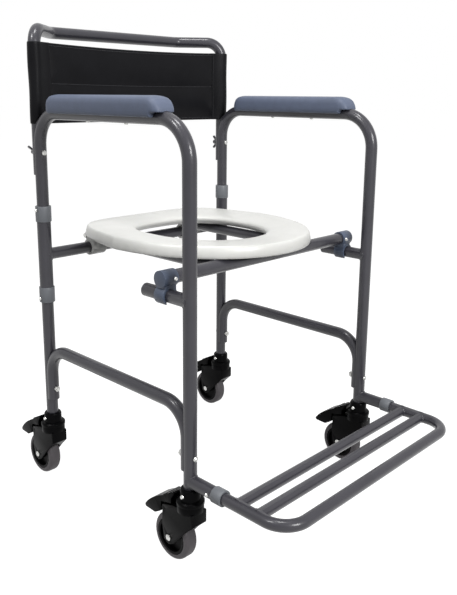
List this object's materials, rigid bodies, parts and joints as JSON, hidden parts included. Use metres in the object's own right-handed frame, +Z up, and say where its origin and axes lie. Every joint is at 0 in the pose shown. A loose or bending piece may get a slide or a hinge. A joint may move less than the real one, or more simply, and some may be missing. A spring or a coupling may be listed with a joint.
{
  "type": "shower commode chair",
  "caption": "Wheeled shower commode chair with bent tube frame, hinged ring seat, sling back with push bar, padded arms, pull-out footrest and braked casters.",
  "frame": {"origin": "middle of the chair's footprint, on the floor", "axes": "+Z up, the chair faces -Y, +X to the sitter's left"},
  "size_m": [0.514, 0.6966, 0.8681],
  "materials": {
    "frame_tube": "glossy grey powder coat",
    "zinc_steel": "zinc plated",
    "grey_plastic": "satin",
    "blue_grey_plastic": "satin",
    "arm_foam": "moulded skin foam, matt",
    "back_textile": "coated black cloth",
    "seat_plastic": "glossy off-white",
    "bumper_rubber": "matt",
    "black_plastic": "satin black",
    "tyre_rubber": "matt grey"
  },
  "bodies": {
    "frame": {"side_frame_left": "frame_tube", "side_frame_right": "frame_tube", "rear_leg_left": "frame_tube", "rear_leg_right": "frame_tube", "rear_frame": "frame_tube", "stretcher_left": "frame_tube", "stretcher_right": "frame_tube", "back_frame": "frame_tube", "seat_support": "frame_tube", "stretcher_bolts": "zinc_steel", "back_bolts": "zinc_steel", "arm_screws": "zinc_steel", "tube_screws": "zinc_steel", "seat_hinge_pins": "zinc_steel", "caster_kingpins": "zinc_steel", "rear_collars": "grey_plastic", "footrest_collars": "grey_plastic", "stub_plugs": "grey_plastic", "seat_clip_left": "blue_grey_plastic", "seat_clip_right": "blue_grey_plastic", "arm_pad_left": "arm_foam", "arm_pad_right": "arm_foam", "back_cover": "back_textile", "seat_hinge_brackets": "seat_plastic", "caster_socket_front_left": "black_plastic", "caster_socket_front_right": "black_plastic", "caster_socket_rear_left": "black_plastic", "caster_socket_rear_right": "black_plastic"},
    "caster_front_left": {"caster_fork_front_left": "black_plastic", "caster_axle_front_left": "zinc_steel"},
    "wheel_front_left": {"wheel_core_front_left": "black_plastic", "tyre_front_left": "tyre_rubber"},
    "pedal_front_left": {"brake_pedal_front_left": "black_plastic"},
    "caster_front_right": {"caster_fork_front_right": "black_plastic", "caster_axle_front_right": "zinc_steel"},
    "wheel_front_right": {"wheel_core_front_right": "black_plastic", "tyre_front_right": "tyre_rubber"},
    "pedal_front_right": {"brake_pedal_front_right": "black_plastic"},
    "caster_rear_left": {"caster_fork_rear_left": "black_plastic", "caster_axle_rear_left": "zinc_steel"},
    "wheel_rear_left": {"wheel_core_rear_left": "black_plastic", "tyre_rear_left": "tyre_rubber"},
    "pedal_rear_left": {"brake_pedal_rear_left": "black_plastic"},
    "caster_rear_right": {"caster_fork_rear_right": "black_plastic", "caster_axle_rear_right": "zinc_steel"},
    "wheel_rear_right": {"wheel_core_rear_right": "black_plastic", "tyre_rear_right": "tyre_rubber"},
    "pedal_rear_right": {"brake_pedal_rear_right": "black_plastic"},
    "seat": {"seat": "seat_plastic", "seat_hinge_lugs": "seat_plastic", "seat_bumpers": "bumper_rubber"},
    "footrest": {"footrest": "frame_tube"},
    "upper_button_left": {"upper_button_left": "zinc_steel"},
    "lower_button_left": {"lower_button_left": "zinc_steel"},
    "footrest_button_left": {"footrest_button_left": "zinc_steel"},
    "wing_nut_left": {"wing_nut_left": "frame_tube"},
    "upper_button_right": {"upper_button_right": "zinc_steel"},
    "lower_button_right": {"lower_button_right": "zinc_steel"},
    "footrest_button_right": {"footrest_button_right": "zinc_steel"},
    "wing_nut_right": {"wing_nut_right": "frame_tube"}
  },
  "joints": [
    {"name": "swivel_front_left", "type": "hinge", "parent": "frame", "child": "caster_front_left", "pos_m": [0.234, -0.14075, 0.112], "axis": [0, 0, 1], "continuous": true},
    {"name": "roll_front_left", "type": "hinge", "parent": "caster_front_left", "child": "wheel_front_left", "pos_m": [0.234, -0.10575, 0.04], "axis": [1, 0, 0], "continuous": true},
    {"name": "brake_front_left", "type": "hinge", "parent": "caster_front_left", "child": "pedal_front_left", "pos_m": [0.234, -0.09572, 0.08803], "axis": [-1, 0, 0], "range_deg": [0, 8]},
    {"name": "swivel_front_right", "type": "hinge", "parent": "frame", "child": "caster_front_right", "pos_m": [-0.234, -0.14075, 0.112], "axis": [0, 0, 1], "continuous": true},
    {"name": "roll_front_right", "type": "hinge", "parent": "caster_front_right", "child": "wheel_front_right", "pos_m": [-0.234, -0.10575, 0.04], "axis": [1, 0, 0], "continuous": true},
    {"name": "brake_front_right", "type": "hinge", "parent": "caster_front_right", "child": "pedal_front_right", "pos_m": [-0.234, -0.09572, 0.08803], "axis": [-1, 0, 0], "range_deg": [0, 8]},
    {"name": "swivel_rear_left", "type": "hinge", "parent": "frame", "child": "caster_rear_left", "pos_m": [0.234, 0.25425, 0.112], "axis": [0, 0, 1], "continuous": true},
    {"name": "roll_rear_left", "type": "hinge", "parent": "caster_rear_left", "child": "wheel_rear_left", "pos_m": [0.234, 0.28925, 0.04], "axis": [1, 0, 0], "continuous": true},
    {"name": "brake_rear_left", "type": "hinge", "parent": "caster_rear_left", "child": "pedal_rear_left", "pos_m": [0.234, 0.29928, 0.08803], "axis": [-1, 0, 0], "range_deg": [0, 8]},
    {"name": "swivel_rear_right", "type": "hinge", "parent": "frame", "child": "caster_rear_right", "pos_m": [-0.234, 0.25425, 0.112], "axis": [0, 0, 1], "continuous": true},
    {"name": "roll_rear_right", "type": "hinge", "parent": "caster_rear_right", "child": "wheel_rear_right", "pos_m": [-0.234, 0.28925, 0.04], "axis": [1, 0, 0], "continuous": true},
    {"name": "brake_rear_right", "type": "hinge", "parent": "caster_rear_right", "child": "pedal_rear_right", "pos_m": [-0.234, 0.29928, 0.08803], "axis": [-1, 0, 0], "range_deg": [0, 8]},
    {"name": "seat_lift", "type": "hinge", "parent": "frame", "child": "seat", "pos_m": [0, 0.26125, 0.475], "axis": [-1, 0, 0], "range_deg": [0, 70]},
    {"name": "footrest_slide", "type": "slide", "parent": "frame", "child": "footrest", "axis": [0, -1, 0], "range_m": [0, 0.025]},
    {"name": "upper_button_press_left", "type": "slide", "parent": "frame", "child": "upper_button_left", "axis": [-1, 0, 0], "range_m": [0, 0.006], "stiffness_N_per_m": 1500},
    {"name": "lower_button_press_left", "type": "slide", "parent": "frame", "child": "lower_button_left", "axis": [-1, 0, 0], "range_m": [0, 0.006], "stiffness_N_per_m": 1500},
    {"name": "footrest_button_press_left", "type": "slide", "parent": "frame", "child": "footrest_button_left", "axis": [-1, 0, 0], "range_m": [0, 0.004], "stiffness_N_per_m": 1500},
    {"name": "wing_nut_turn_left", "type": "hinge", "parent": "frame", "child": "wing_nut_left", "pos_m": [0.234, 0.27515, 0.641], "axis": [0, 1, 0], "continuous": true},
    {"name": "upper_button_press_right", "type": "slide", "parent": "frame", "child": "upper_button_right", "axis": [1, 0, 0], "range_m": [0, 0.006], "stiffness_N_per_m": 1500},
    {"name": "lower_button_press_right", "type": "slide", "parent": "frame", "child": "lower_button_right", "axis": [1, 0, 0], "range_m": [0, 0.006], "stiffness_N_per_m": 1500},
    {"name": "footrest_button_press_right", "type": "slide", "parent": "frame", "child": "footrest_button_right", "axis": [1, 0, 0], "range_m": [0, 0.004], "stiffness_N_per_m": 1500},
    {"name": "wing_nut_turn_right", "type": "hinge", "parent": "frame", "child": "wing_nut_right", "pos_m": [-0.234, 0.27515, 0.641], "axis": [0, 1, 0], "continuous": true}
  ]
}
